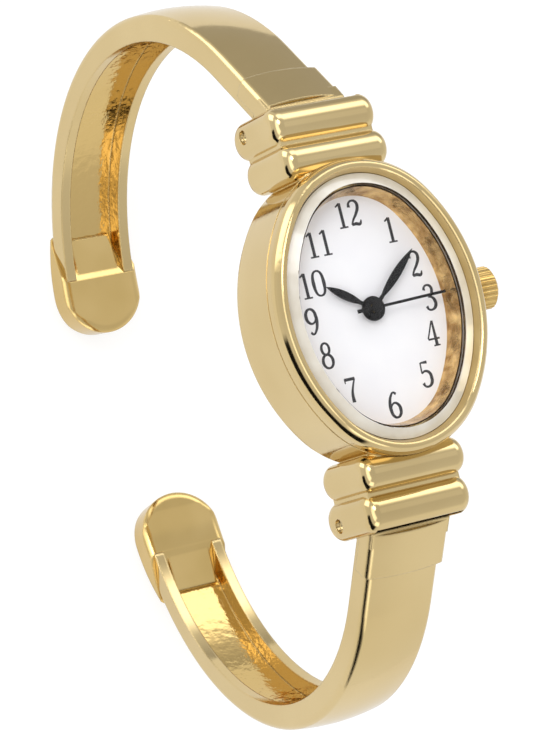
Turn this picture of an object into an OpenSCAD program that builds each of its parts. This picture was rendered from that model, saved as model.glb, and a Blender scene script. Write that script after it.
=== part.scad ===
// Cuff watch: oval case on a hinged two-arm bangle
// Frame: +Z out of the dial, +Y to 12 o'clock, +X to the crown, origin on the case back's outer face

/* [Case] */
// Width of the case across 9 to 3 o'clock
case_w = 19.6; // [19:0.1:20.6]
// Length of the case along 12 to 6 o'clock
case_l = 25.2; // [24.6:0.1:26.4]
// Thickness of the case back under the movement
back_t = 0.9; // [0.7:0.05:1]
// Height of the case back's rim
back_rim = 1.5; // [1.4:0.05:1.7]
// Height of the flat flank of the case
flank_h = 5.5; // [5.4:0.05:5.7]
// Wall of the case round the movement
case_wall = 1.7; // [1.5:0.05:1.8]
// Height of the dial's face above the case back
dial_z = 6.2; // [6:0.1:6.4]

/* [Bezel and crystal] */
// Height of the bezel above the case middle
bezel_h = 2; // [1.8:0.1:2.2]
// Width of the bezel seen from above
bezel_w = 1.2; // [1.1:0.05:1.3]
// Width of the crystal's seat ring
ring_w = 0.92; // [0.88:0.01:0.98]
// Height of the seat ring at its outer edge
ring_h = 1.1; // [1.05:0.05:1.2]
// Rise of the seat ring towards the crystal
ring_rise = 0.4; // [0.3:0.05:0.5]
// Thickness of the crystal
crystal_t = 0.5; // [0.4:0.05:0.6]

/* [Dial and hands] */
// Thickness of the dial
dial_t = 0.4; // [0.3:0.05:0.5]
// Visible width of the sloping ring round the dial
rehaut_w = 0.66; // [0.6:0.02:0.8]
// Length of the hour hand from the centre
hour_len = 4.6; // [4:0.1:5]
// Length of the minute hand from the centre
minute_len = 6.4; // [6:0.1:6.6]
// Length of the second hand from the centre
second_len = 6.8; // [6.2:0.1:6.8]
// Tail of the second hand
second_tail = 1.8; // [1.2:0.1:2]
// Width of the hour hand's leaf
hour_leaf = 0.72; // [0.6:0.04:0.88]
// Width of the minute hand's leaf
minute_leaf = 0.75; // [0.6:0.05:0.9]
// Diameter of the hands' round boss
boss_d = 2.1; // [1.8:0.1:2.4]
// Angle of the hour hand, clockwise from 12
hour_angle = 303.5; // [0:0.5:360]
// Angle of the minute hand, clockwise from 12
minute_angle = 48.3; // [0:0.1:360]
// Angle of the second hand, clockwise from 12
second_angle = 88.5; // [0:0.5:360]

/* [Crown] */
// Diameter of the crown
crown_d = 3.7; // [3.4:0.1:4]
// Length of the crown
crown_l = 2.3; // [2.1:0.1:2.6]
// Gap between the case and the crown
crown_gap = 0.9; // [0.7:0.1:1.1]
// Number of flutes on the crown
crown_flutes = 26; // [18:1:30]
// Height of the stem's centre line above the case back
stem_z = 4; // [3.95:0.01:4.05]
// Diameter of the stem
stem_d = 0.8; // [0.7:0.05:0.8]
// Outer diameter of the crown's tube
tube_d = 1.6; // [1.5:0.05:1.8]

/* [Lugs] */
// Length of each lug bar along the hinge
bar_w = 9.9; // [9.6:0.1:10.4]
// Thickness of the inner bar
bar_in_t = 3.15; // [3:0.05:3.3]
// Thickness of the outer bar that hides the hinge
bar_out_t = 3.35; // [3.3:0.05:3.5]
// Rounding of the bars' end edges
bar_soft = 1; // [0.6:0.05:1.1]
// Depth of each bar from front to back
bar_depth = 8.4; // [8.2:0.1:8.8]
// Height of the inner bar's front above the case back
bar_top = 7.5; // [7.3:0.1:7.7]
// Step down from the inner to the outer bar
bar_step = 0.75; // [0.6:0.05:0.9]
// Gap between the case oval and the inner bar, negative where the bar sinks in
bar_sink = -0.9; // [-1:0.05:-0.7]
// Width of the mouth that the arm enters
hood_w = 8.4; // [8.3:0.05:8.6]
// Wall of the hood towards the case
hood_wall = 0.65; // [0.5:0.05:0.7]
// Cap of the hood over the arm
hood_cap = 0.9; // [0.8:0.05:1]
// Lip of the hood under the hinge
hood_lip = 0.7; // [0.5:0.05:0.8]

/* [Hinge] */
// Diameter of the hinge pin
pin_d = 1; // [0.8:0.05:1.1]
// Distance of the pin from the outer bar's outer face
pin_in = 1.35; // [1.3:0.01:1.4]
// Height of the pin above the back end of the outer bar
pin_up = 2.42; // [2.3:0.02:2.6]
// Depth of the recess at each pin end
pin_recess = 0.4; // [0.3:0.05:0.5]
// Diameter of the arm's knuckles
knuckle_d = 2.2; // [2:0.05:2.3]
// Room between the knuckles for the spring
spring_room = 3.1; // [2.8:0.1:3.4]
// Thickness of the spring's wire
spring_wire = 0.3; // [0.25:0.01:0.35]

/* [Cuff arms] */
// Width of each arm
arm_w = 7.1; // [6.8:0.1:7.2]
// Depth of each arm from its outer face to its lips
arm_t = 2.6; // [2.4:0.1:2.8]
// Wall of the channel's two sides
arm_wall = 1; // [0.8:0.05:1.2]
// Skin of the channel's outer face
arm_skin = 0.9; // [0.8:0.05:1.1]
// Radius of the arm's outer face along the bend
arm_r = 23.3; // [22.6:0.1:24.4]
// Slope of the straight stretch below the horizontal
arm_slope = 41.2; // [40:0.1:44]
// Length of the straight stretch from the pin's line
arm_straight = 7.85; // [7.4:0.05:8.1]
// Height of the outer face above the pin, square to the straight stretch
arm_lift = 3.37; // [3.3:0.01:3.45]
// Turn of the bend from the straight stretch to the tip's end
arm_turn = 141; // [138:0.2:142]
// Radius of the crown across the outer face
arm_crown = 18; // [14:1:30]
// Length of the collar next to the hinge
collar_l = 4.3; // [3.6:0.1:5]
// Rounding of the arm's outer edges
arm_soft = 0.7; // [0.5:0.05:0.8]
// Step of the collar above the arm
collar_t = 0.35; // [0.2:0.05:0.4]
// Depth of the collar's sides
collar_side = 1.8; // [1.5:0.1:2]
// Step of the domed tip above the arm
tip_step = 0.8; // [0.7:0.05:1]
// Rounding of the tip's inner edge
tip_soft = 0.9; // [0.7:0.05:1]
// Amount by which the tip stands proud of each side of the arm
tip_side = 0.45; // [0.3:0.05:0.5]
// Turn from the tip's front edge on the outer face to the tip's end
tip_outer_turn = 24.2; // [23:0.2:25]
// Turn from the tip's seam on the inner face to the tip's end
tip_inner_turn = 13.5; // [13:0.5:16]
// Turn covered by the ramp that carries the tip inside the channel
ramp_turn = 10; // [8:0.5:11]
// Set of the 12 o'clock arm about its pin, negative inwards
upper_set = -2.4; // [-3:0.1:0]
// Sideways lean of the 12 o'clock arm
upper_lean = 3.2; // [0:0.1:3.2]
// Set of the 6 o'clock arm about its pin
lower_set = 1.3; // [0:0.1:2]

/* [Movement] */
// Diameter of the button cell
cell_d = 5.8; // [5.6:0.1:5.8]
// Height of the button cell
cell_h = 2.1; // [1.6:0.05:2.1]
// Thickness of the main plate
plate_t = 1.5; // [1.4:0.05:1.6]
// Depth of the plate's dial side recess
recess_t = 0.85; // [0.8:0.05:0.9]
// Height of the gear space under the plate
train_h = 1.3; // [1.25:0.05:1.35]
// Thickness of the train bridge
bridge_t = 0.45; // [0.35:0.05:0.5]
// Thickness of a wheel
wheel_t = 0.12; // [0.1:0.01:0.13]

/* [Clearances] */
// Running gap of shafts and bores, on the radius
run_gap = 0.04; // [0.03:0.01:0.06]
// Gap between pieces that are set into each other
fit_gap = 0.03; // [0.02:0.01:0.05]

/* [Hidden] */
$fn = 64;
e = 0.01;

gold = [0.82, 0.71, 0.49];
deep_gold = [0.86, 0.7, 0.35];
steel = [0.72, 0.73, 0.75];
brass = [0.8, 0.66, 0.36];
ink = [0.1, 0.1, 0.11];

// Four-arc oval: end arcs centred on (0, +-oval_c), side arcs on (+-oval_d, 0).
// Its centres and tangent points always make 3-4-5 triangles, so the arcs meet exactly.
half_w = case_w / 2;
half_l = case_l / 2;
end_r = (3 * half_w - half_l) / 2;
oval_c = half_l - end_r;
oval_d = oval_c * 4 / 3;
side_r = end_r + oval_c * 5 / 3;

// Levels above the case back's outer face
flank_top = back_rim + flank_h;
bezel_top = flank_top + bezel_h;
ring_top = flank_top + ring_h;
crystal_top = ring_top + ring_rise;
crystal_z = crystal_top - crystal_t;
dial_low = dial_z - dial_t;
plate_z = dial_low - plate_t;
recess_z = dial_low - recess_t;
bridge_top = plate_z - train_h;
bridge_z = bridge_top - bridge_t;

// Offsets from the case oval, negative inwards
ring_out = -(bezel_w + 0.1);
bezel_out = ring_out + bezel_w + 0.06;
ring_in = ring_out - ring_w;
rehaut_in = ring_in - rehaut_w;
cavity_in = -case_wall;
back_out = -0.3;
mov_in = cavity_in - 0.95;
// Size of the movement against the calibre that fills this case
cal = min((half_w + mov_in) / 7.15, (half_l + mov_in) / 9.95);

module oval(off) {
    tangent_y = oval_c + (end_r + off) * 0.6;
    intersection() {
        translate([-oval_d, 0]) circle(r = side_r + off);
        translate([oval_d, 0]) circle(r = side_r + off);
        square([case_l, 2 * tangent_y], center = true);
    }
    for (s = [-1, 1]) {
        translate([0, s * oval_c]) circle(r = end_r + off);
    }
}

module oval_plate(off, z0, z1) {
    translate([0, 0, z0]) linear_extrude(z1 - z0) oval(off);
}

module oval_frame(off_out, off_in, z0, z1) {
    translate([0, 0, z0]) linear_extrude(z1 - z0) difference() {
        oval(off_out);
        oval(off_in);
    }
}

// Sweeps a section round the oval: section x is the offset from the oval, y is the height
module oval_sweep() {
    far_x = case_l * 0.8;
    far_y = oval_c + case_l * 0.6;
    for (s = [-1, 1]) {
        intersection() {
            translate([0, s * oval_c, 0]) rotate_extrude() translate([end_r, 0]) children();
            linear_extrude(3 * case_l, center = true)
                polygon([[0, s * oval_c], [far_x, s * far_y], [-far_x, s * far_y]]);
        }
        intersection() {
            translate([-s * oval_d, 0, 0]) rotate_extrude() translate([side_r, 0]) children();
            linear_extrude(3 * case_l, center = true)
                polygon([[0, oval_c], [s * far_x, far_y], [s * far_x, -far_y], [0, -oval_c]]);
        }
    }
}

// Extrudes a section drawn in (Y, Z) along X, centred
module along_x(len) {
    rotate([90, 0, 90]) linear_extrude(len, center = true) children();
}

module x_rod(d, x0, x1, y, z) {
    translate([x0, y, z]) rotate([0, 90, 0]) cylinder(d = d, h = x1 - x0);
}

// Lug bars and the hinge
bar_in_y0 = half_l + bar_sink;
bar_in_y1 = bar_in_y0 + bar_in_t;
bar_out_y0 = bar_in_y1;
bar_out_y1 = bar_out_y0 + bar_out_t;
bar_out_top = bar_top - bar_step;
bar_out_low = bar_out_top - bar_depth;
pin_y = bar_out_y1 - pin_in;
pin_z = bar_out_low + pin_up;
pin_l = bar_w - 2 * pin_recess;
pin_bore = pin_d + 2 * fit_gap;

// Half of a bar's outline, from its middle line outwards, with rounded corners
module bar_outline(half, soft) {
    translate([0, -bar_w / 2]) square([half - soft, bar_w]);
    translate([0, soft - bar_w / 2]) square([half, bar_w - 2 * soft]);
    for (s = [-1, 1]) {
        intersection() {
            translate([half - soft, s * (bar_w / 2 - soft)]) circle(r = soft);
            translate([0, -bar_w]) square([half + 1, 2 * bar_w]);
        }
    }
}

// A bar with a round nose in front and behind, its ends rounded over
module bar(y0, t, top) {
    r = t / 2;
    translate([0, y0 + r, 0]) {
        translate([0, 0, top - r]) rotate([0, -90, 0]) rotate([0, 0, -90])
            rotate_extrude(angle = 180) bar_outline(r, bar_soft);
        translate([0, 0, top - bar_depth + r]) {
            linear_extrude(bar_depth - t) for (s = [-90, 90]) {
                rotate(s) bar_outline(r, bar_soft);
            }
            rotate([0, 90, 0]) rotate([0, 0, -90])
                rotate_extrude(angle = 180) bar_outline(r, bar_soft);
        }
    }
}

module lug() {
    neck_w = bar_w - 2.3;
    difference() {
        union() {
            bar(bar_in_y0, bar_in_t, bar_top);
            bar(bar_out_y0, bar_out_t, bar_out_top);
            along_x(bar_w - bar_soft) translate([bar_in_y1 - 0.8, bar_out_low + 1.6])
                square([1.6, bar_depth - 2.3]);
            translate([-neck_w / 2, oval_c + 2, back_rim])
                cube([neck_w, bar_in_y0 + 1 - oval_c - 2, flank_h - 0.5]);
        }
        translate([-hood_w / 2, bar_out_y0 + hood_wall, bar_out_low + hood_lip])
            cube([hood_w, bar_out_t, bar_depth - hood_lip - hood_cap]);
        x_rod(pin_bore, -bar_w, bar_w, pin_y, pin_z);
        for (s = [-1, 1]) {
            x_rod(pin_d + 0.25, s * (bar_w - pin_recess) / 2 - (pin_recess + e) / 2,
                s * (bar_w - pin_recess) / 2 + (pin_recess + e) / 2, pin_y, pin_z);
        }
    }
}

module case_middle() {
    ledge_in = ring_in - 0.1;
    color(gold) difference() {
        union() {
            oval_plate(0, back_rim, flank_top);
            lug();
            mirror([0, 1, 0]) lug();
        }
        oval_plate(cavity_in, back_rim - 1, dial_z + 0.7);
        oval_plate(back_out + fit_gap, bar_out_low, back_rim);
        oval_plate(ledge_in, dial_z, flank_top + 1);
        oval_plate(bezel_out + fit_gap, flank_top, bezel_top);
        translate([0, 0, back_rim - e]) linear_extrude(0.35 + e) difference() {
            oval(-0.55);
            oval(-1.05);
        }
        x_rod(tube_d + 2 * fit_gap, half_w - case_wall - 1, half_w + 1, 0, stem_z);
    }
}

module bezel() {
    roll = 0.35;
    belly = 1.5;
    belly_x = bezel_out - belly * cos(5);
    belly_z = bezel_top - roll - (belly - roll) * sin(45);
    roll_x = belly_x + (belly - roll + 0.003) * cos(45);
    roll_z = bezel_top - roll;
    fall = [roll_x - 0.99 * roll * cos(20), roll_z + 0.99 * roll * sin(20)];
    color(gold) {
        oval_frame(bezel_out - 0.15, ring_out + 0.15, flank_top + 0.1, belly_z);
        oval_sweep() {
            polygon([
                [ring_out, flank_top], [bezel_out, flank_top], [bezel_out, belly_z], [roll_x, roll_z],
                fall, [ring_out, fall.y - (fall.x - ring_out) / tan(20)]
            ]);
            intersection() {
                translate([belly_x, belly_z]) circle(r = belly);
                polygon([
                    [bezel_out - 0.4, belly_z - 0.05], [bezel_out + 1, belly_z - 0.05],
                    [belly_x + 3 * cos(45), belly_z + 3 * sin(45)], [roll_x, roll_z]
                ]);
            }
            translate([roll_x, roll_z]) circle(r = roll);
        }
    }
}

module crystal_ring() {
    rim = ring_out - fit_gap;
    color([0.85, 0.82, 0.76]) difference() {
        oval_frame(rim, ring_in, flank_top, crystal_top + 0.1);
        oval_sweep() polygon([
            [ring_in - 1, crystal_top + ring_rise / ring_w], [rim + 1, ring_top - ring_rise / ring_w],
            [rim + 1, crystal_top + 2], [ring_in - 1, crystal_top + 2]
        ]);
    }
}

module crystal() {
    color([0.8, 0.9, 0.95, 0.4]) oval_plate(ring_in - fit_gap, crystal_z, crystal_top);
}

module dial_ring() {
    flange_out = cavity_in - fit_gap;
    sleeve_out = ring_in - 0.15;
    flange_top = dial_z + 0.7 - fit_gap;
    color(gold) {
        oval_frame(flange_out, sleeve_out - 0.2, dial_z, flange_top);
        oval_sweep() polygon([
            [rehaut_in, dial_z], [sleeve_out, dial_z],
            [sleeve_out, crystal_z], [sleeve_out - 0.1, crystal_z]
        ]);
    }
}

module case_back() {
    lip_out = cavity_in - fit_gap;
    lip_in = lip_out - 0.5;
    color(gold) difference() {
        union() {
            oval_plate(-1.15, 0, back_rim);
            oval_sweep() polygon([
                [-2, 0], [-1.15, 0], [back_out, 0.7], [back_out, back_rim], [-2, back_rim]
            ]);
            oval_plate(lip_out, back_rim - e, back_rim + 0.5);
        }
        oval_plate(lip_in, back_t, back_rim + 1);
    }
}

module back_gasket() {
    color(ink) oval_frame(-0.6, -1, back_rim, back_rim + 0.32);
}

// Crown, stem and tube, all on the X axis at stem_z
crown_x = half_w + crown_gap;
stem_x0 = 2.9 * cal;
groove_x = 5.8 * cal;
groove_w = 0.42;

module crown() {
    bore_d = tube_d + 2 * 0.12;
    flute_d = 0.3;
    color(deep_gold) translate([crown_x, 0, stem_z]) rotate([0, 90, 0]) difference() {
        union() {
            cylinder(d = crown_d, h = crown_l - 0.35);
            translate([0, 0, crown_l - 0.35]) cylinder(d1 = crown_d, d2 = crown_d - 0.9, h = 0.35);
        }
        for (i = [0:crown_flutes - 1]) {
            rotate(i * 360 / crown_flutes) translate([crown_d / 2 + 0.05, 0, -e])
                cylinder(d = flute_d, h = crown_l + 1);
        }
        translate([0, 0, -e]) cylinder(d = bore_d, h = crown_l - 0.7 + e);
        translate([0, 0, 0.35]) cylinder(d = bore_d + 0.5, h = 0.42);
        cylinder(d = stem_d, h = crown_l - 0.6);
    }
}

module stem() {
    color(steel) difference() {
        x_rod(stem_d, stem_x0, crown_x + crown_l - 0.6, 0, stem_z);
        translate([groove_x - groove_w / 2, 0, stem_z]) rotate([0, 90, 0]) difference() {
            cylinder(d = stem_d + 1, h = groove_w);
            translate([0, 0, -e]) cylinder(d = 0.5, h = groove_w + 2 * e);
        }
    }
}

module crown_tube() {
    color(steel) difference() {
        x_rod(tube_d, half_w - case_wall + 0.05, crown_x + crown_l - 0.8, 0, stem_z);
        x_rod(stem_d + 2 * run_gap, half_w - case_wall - 1, crown_x + crown_l, 0, stem_z);
    }
}

module crown_gasket() {
    color(ink) translate([crown_x + 0.36, 0, stem_z]) rotate([0, 90, 0]) difference() {
        cylinder(d = tube_d + 0.24 + 0.48, h = 0.4);
        translate([0, 0, -e]) cylinder(d = tube_d + 2 * run_gap, h = 1);
    }
}

// Hands
hour_z = dial_z + 0.35;
minute_z = hour_z + 0.3;
second_z = minute_z + 0.25;
hand_t = 0.15;
hour_tube_d = 1.2 * cal;
minute_tube_d = 0.85 * cal;
second_arbor_d = 0.4 * cal;

// A pointed leaf from the centre to its tip, along +Y
module leaf(len, width, start) {
    half = (len - start) / 2;
    r = (half * half + width * width / 4) / width;
    translate([0, start + half]) intersection() {
        translate([r - width / 2, 0]) circle(r = r, $fn = 128);
        translate([width / 2 - r, 0]) circle(r = r, $fn = 128);
    }
}

module leaf_hand(len, width, hub, bore, turn, z) {
    translate([0, 0, z]) rotate(-turn) linear_extrude(hand_t) difference() {
        union() {
            circle(d = hub);
            leaf(len, width, hub * 0.42);
            translate([-0.16, 0]) square([0.32, hub * 0.7]);
        }
        circle(d = bore);
    }
}

module hour_hand() {
    color(ink) leaf_hand(hour_len * cal, hour_leaf, boss_d, hour_tube_d, hour_angle, hour_z);
}

module minute_hand() {
    color(ink) leaf_hand(minute_len * cal, minute_leaf, boss_d - 0.3, minute_tube_d, minute_angle, minute_z);
}

module second_hand() {
    hub = 0.9;
    rod = 0.24;
    reach = second_len * cal;
    tail = second_tail * cal;
    color(ink) translate([0, 0, second_z]) rotate(-second_angle) difference() {
        union() {
            linear_extrude(0.1) {
                circle(d = hub);
                translate([-rod / 2, -tail]) square([rod, reach + tail]);
                translate([-0.16, -tail]) square([0.32, tail]);
            }
            cylinder(d = 0.7, h = 0.2);
        }
        translate([0, 0, -e]) cylinder(d = second_arbor_d, h = 1);
    }
}

dial_foot = [2.6, 8] * cal;
foot_d = 0.7;
foot_l = 0.9;

module dial() {
    color([0.95, 0.95, 0.97]) {
        difference() {
            oval_plate(cavity_in - 0.4, dial_low, dial_z);
                arbor([0, 0], dial_low - e, dial_z + e, hour_tube_d + 0.3);
        }
        for (s = [-1, 1]) {
            arbor(s * dial_foot, dial_low - foot_l, dial_low + e, foot_d);
        }
    }
}

module dial_washer() {
    color(brass) translate([0, 0, dial_low - 0.07]) difference() {
        cylinder(d = 2 * hour_tube_d + 0.2, h = 0.06);
        translate([0, 0, -e]) cylinder(d = hour_tube_d + 2 * run_gap, h = 1);
    }
}

// Gear outline: tapered teeth, thin enough to run free of their mates
module gear(teeth, mod, thick, turn = 0) {
    tip = mod * (teeth / 2 + 0.85);
    root = mod * (teeth / 2 - 1.25);
    step = 360 / teeth;
    rotate(turn) linear_extrude(thick) polygon([
        for (i = [0:teeth - 1]) each [
            root * [cos(step * (i - 0.27)), sin(step * (i - 0.27))],
            tip * [cos(step * (i - 0.09)), sin(step * (i - 0.09))],
            tip * [cos(step * (i + 0.09)), sin(step * (i + 0.09))],
            root * [cos(step * (i + 0.27)), sin(step * (i + 0.27))]
        ]
    ]);
}

function polar(len, angle) = len * [cos(angle), sin(angle)];
// Turn that puts a gap between two teeth at the given direction
function gap_at(direction, teeth) = direction + 180 / teeth;

// Teeth and modules of the going train
rotor_teeth = 6;
inter_teeth = 36;
inter_leaves = 8;
fourth_teeth = 40;
fourth_leaves = 8;
third_teeth = 60;
third_leaves = 8;
centre_teeth = 64;
rotor_mod = 0.085 * cal;
inter_mod = 0.105 * cal;
third_mod = 0.0735 * cal;
centre_mod = third_mod * (fourth_leaves + third_teeth) / (third_leaves + centre_teeth);
third_dir = 110;
inter_dir = 200;
rotor_dir = 225;
third_pos = polar(third_mod * (fourth_leaves + third_teeth) / 2, third_dir);
inter_pos = polar(inter_mod * (inter_leaves + fourth_teeth) / 2, inter_dir);
rotor_pos = inter_pos + polar(rotor_mod * (rotor_teeth + inter_teeth) / 2, rotor_dir);

// Teeth and modules of the motion work
cannon_leaves = 8;
minute_teeth = 24;
minute_leaves = 6;
hour_teeth = 24;
setting_teeth = 16;
cannon_mod = 0.15 * cal;
hour_mod = cannon_mod * (cannon_leaves + minute_teeth) / (minute_leaves + hour_teeth);
minute_dir = 60;
setting_dir = -40;
minute_pos = polar(cannon_mod * (cannon_leaves + minute_teeth) / 2, minute_dir);
setting_pos = minute_pos + polar(cannon_mod * (minute_teeth + setting_teeth) / 2, setting_dir);
minute_turn = gap_at(minute_dir + 180, minute_teeth);
minute_step = 360 / minute_teeth;
setting_skew = minute_turn - setting_dir - minute_step * round((minute_turn - setting_dir) / minute_step);
setting_turn = gap_at(setting_dir + 180 - setting_skew * minute_teeth / setting_teeth, setting_teeth);

// Levels of the wheels above the train bridge, and of the motion work above the recess
fourth_z = bridge_top + 0.08;
inter_z = fourth_z + wheel_t + 0.1;
third_z = inter_z + wheel_t + 0.08;
pinion_z = third_z + wheel_t + 0.08;
centre_z = pinion_z + 0.12;
pivot_d = 0.3 * cal;
magnet_d = 1.4 * cal;
cannon_z = recess_z + 0.08;
hour_wheel_z = cannon_z + 0.42;

module arbor(pos, z0, z1, d) {
    translate([pos.x, pos.y, z0]) cylinder(d = d, h = z1 - z0);
}

// Pivots that run in the bridge and the plate
pivot_low = bridge_top - 0.3;
pivot_high = plate_z + 0.35;

module rotor() {
    magnet_z = inter_z + wheel_t + 0.2;
    color(steel) {
        translate([rotor_pos.x, rotor_pos.y, inter_z - 0.04])
            gear(rotor_teeth, rotor_mod, wheel_t + 0.08, gap_at(rotor_dir + 180, rotor_teeth));
        arbor(rotor_pos, pivot_low, pivot_high, 0.8 * pivot_d);
        arbor(rotor_pos, magnet_z, magnet_z + 0.5, magnet_d);
    }
}

module intermediate_wheel() {
    color(brass) {
        translate([inter_pos.x, inter_pos.y, inter_z])
            gear(inter_teeth, rotor_mod, wheel_t, rotor_dir);
        translate([inter_pos.x, inter_pos.y, fourth_z - 0.04])
            gear(inter_leaves, inter_mod, wheel_t + 0.15, gap_at(inter_dir + 180, inter_leaves));
        arbor(inter_pos, pivot_low, pivot_high, pivot_d);
    }
}

module fourth_wheel() {
    color(brass) {
        translate([0, 0, fourth_z]) gear(fourth_teeth, inter_mod, wheel_t, inter_dir);
        translate([0, 0, fourth_z + wheel_t])
            gear(fourth_leaves, third_mod, third_z - fourth_z - wheel_t + wheel_t + 0.04,
                gap_at(third_dir, fourth_leaves));
        arbor([0, 0], pivot_low, second_z + 0.15, second_arbor_d);
    }
}

module third_wheel() {
    color(brass) {
        translate([third_pos.x, third_pos.y, third_z])
            gear(third_teeth, third_mod, wheel_t, third_dir + 180);
        translate([third_pos.x, third_pos.y, third_z + wheel_t])
            gear(third_leaves, centre_mod, centre_z - third_z + 0.06,
                gap_at(third_dir + 180, third_leaves));
        arbor(third_pos, pivot_low, pivot_high, pivot_d);
    }
}

module centre_wheel() {
    color(brass) difference() {
        union() {
            translate([0, 0, centre_z]) gear(centre_teeth, centre_mod, wheel_t, third_dir);
            translate([0, 0, centre_z]) cylinder(d = minute_tube_d, h = minute_z + hand_t - centre_z);
            translate([0, 0, cannon_z])
                gear(cannon_leaves, cannon_mod, 0.36, minute_dir);
        }
        translate([0, 0, centre_z - e]) cylinder(d = second_arbor_d + 2 * run_gap, h = 9);
    }
}

module minute_wheel() {
    color(brass) translate([minute_pos.x, minute_pos.y, 0]) {
        translate([0, 0, cannon_z + 0.1]) gear(minute_teeth, cannon_mod, wheel_t, minute_turn);
        translate([0, 0, cannon_z + 0.1 + wheel_t])
            gear(minute_leaves, hour_mod, hour_wheel_z - cannon_z - 0.02,
                gap_at(minute_dir + 180, minute_leaves));
        translate([0, 0, recess_z - 0.3]) cylinder(d = pivot_d, h = recess_t + 0.24);
    }
}

module hour_wheel() {
    color(brass) difference() {
        union() {
            translate([0, 0, hour_wheel_z]) gear(hour_teeth, hour_mod, wheel_t, minute_dir);
            translate([0, 0, hour_wheel_z]) cylinder(d = hour_tube_d, h = hour_z + hand_t - hour_wheel_z);
        }
        translate([0, 0, hour_wheel_z - e]) cylinder(d = minute_tube_d + 2 * run_gap, h = 9);
    }
}

module setting_wheel() {
    color(brass) translate([setting_pos.x, setting_pos.y, 0]) {
        translate([0, 0, cannon_z + 0.05]) gear(setting_teeth, cannon_mod, 0.2, setting_turn);
        translate([0, 0, recess_z - 0.3]) cylinder(d = pivot_d, h = 0.7);
    }
}

// Keyless work on the stem
clutch_x = 3.9 * cal;
clutch_l = cal;
lever_l = 2.2 * cal;
lever_t = 0.15;
lever_z = stem_z - stem_d / 2 - lever_t - 0.08;

module sliding_pinion() {
    color(steel) difference() {
        translate([clutch_x, 0, stem_z]) rotate([0, 90, 0]) gear(12, 0.11, clutch_l);
        x_rod(stem_d + 2 * run_gap, clutch_x - 1, clutch_x + clutch_l + 1, 0, stem_z);
    }
}

module setting_lever() {
    color(steel) {
        translate([groove_x, -lever_l, lever_z]) linear_extrude(lever_t) {
            circle(d = 1.1);
            translate([-0.3, 0]) square([0.6, lever_l]);
            translate([0, lever_l]) circle(d = 0.6);
            rotate(150) translate([0, -0.2]) square([1.6, 0.4]);
        }
        translate([groove_x, 0, lever_z]) cylinder(d = 0.26, h = stem_z - 0.25 - 0.03 - lever_z);
        translate([groove_x, -lever_l, lever_z]) cylinder(d = 0.5, h = plate_z + 0.4 - lever_z);
    }
}

// Power and circuit
cell_w = cell_d * cal;
cell_pos = [-0.4 * cal, -(half_l + mov_in - 1.25 * cal - cell_w / 2)];
cell_z = plate_z - 0.1 - cell_h;
coil_x = -5.65 * cal;
coil_y = 0;
coil_l = 6 * cal;
coil_d = 1.1 * cal;
stator_z = inter_z + wheel_t + 0.3;
stator_t = 0.3;
coil_z = stator_z - 0.12;
chip_pos = [3.6, 3.4] * cal;
chip_w = 1.6 * cal;
can_pos = [3.9, -3.2] * cal;
can_l = 4 * cal;

module button_cell() {
    color(steel) translate([cell_pos.x, cell_pos.y, cell_z]) {
        translate([0, 0, 0.3]) cylinder(d = cell_w, h = cell_h - 0.3);
        cylinder(d = cell_w - 0.9, h = 0.4);
    }
}

module cell_insulator() {
    color([0.8, 0.55, 0.2]) translate([cell_pos.x, cell_pos.y, cell_z + cell_h])
        cylinder(d = cell_w, h = 0.07);
}

module cell_clamp() {
    clamp_z = cell_z - 0.15;
    color(steel) translate([cell_pos.x, cell_pos.y, clamp_z]) {
        linear_extrude(0.12) {
            translate([-0.7, -1.6]) square([1.4, 1.6 + cell_w / 2 + 0.6]);
            circle(d = 2);
        }
        translate([-0.7, cell_w / 2 + 0.25, 0]) cube([1.4, 0.35, bridge_z - clamp_z]);
    }
}

module coil_core() {
    color(steel) translate([coil_x, coil_y, coil_z]) {
        translate([-0.3, -coil_l / 2 - 0.9, 0]) cube([0.6, coil_l + 1.8, 0.12]);
        for (s = [-1, 1]) {
            translate([0, s * (coil_l / 2 + 0.55), 0.06]) cube([1.3, 0.9, 0.12], center = true);
        }
    }
}

module coil() {
    color([0.72, 0.35, 0.15]) difference() {
        translate([coil_x, coil_y + coil_l / 2, coil_z + 0.06]) rotate([90, 0, 0])
            cylinder(d = coil_d, h = coil_l);
        translate([coil_x, coil_y, coil_z + 0.06]) cube([0.64, coil_l + 1, 0.16], center = true);
    }
}

module stator() {
    gap = 0.18;
    end_y = coil_l / 2 + 0.55;
    color(steel) translate([0, 0, stator_z]) linear_extrude(stator_t) difference() {
        union() {
            for (s = [-1, 1]) {
                translate([coil_x - 0.6, coil_y + s * end_y - 0.45]) square([1.8, 0.9]);
            }
            translate([coil_x + 1, coil_y - end_y - 0.45]) square([1.1, 2 * end_y + 0.9]);
            translate([rotor_pos.x, rotor_pos.y]) circle(d = magnet_d + 1.2);
        }
        translate([rotor_pos.x, rotor_pos.y]) circle(d = magnet_d + 2 * gap);
    }
}

module circuit_board() {
    color([0.2, 0.4, 0.25]) translate([0, 0, bridge_z - 0.16]) linear_extrude(0.15) difference() {
        intersection() {
            oval(mov_in - 0.4);
            translate([-case_w, -1.8 * cal]) square([2 * case_w, 8.4 * cal]);
        }
        for (p = screw_pos) {
            translate(p) circle(d = head_d + 0.3);
        }
    }
}

module circuit_chip() {
    color(ink) translate([chip_pos.x, chip_pos.y, bridge_z - 0.46])
        cube([chip_w, chip_w, 0.58], center = true);
}

module quartz_can() {
    color(steel) translate([can_pos.x, can_pos.y, bridge_z + 0.4]) rotate([90, 0, 0])
        cylinder(d = 1.2, h = can_l);
}

screw_pos = cal * [[-3.4, 6.2], [4.6, 5], [5.6, -3.9], [-4.4, -5.6]];
head_d = 1.2 * cal;
screw_d = 0.5 * cal;

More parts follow.
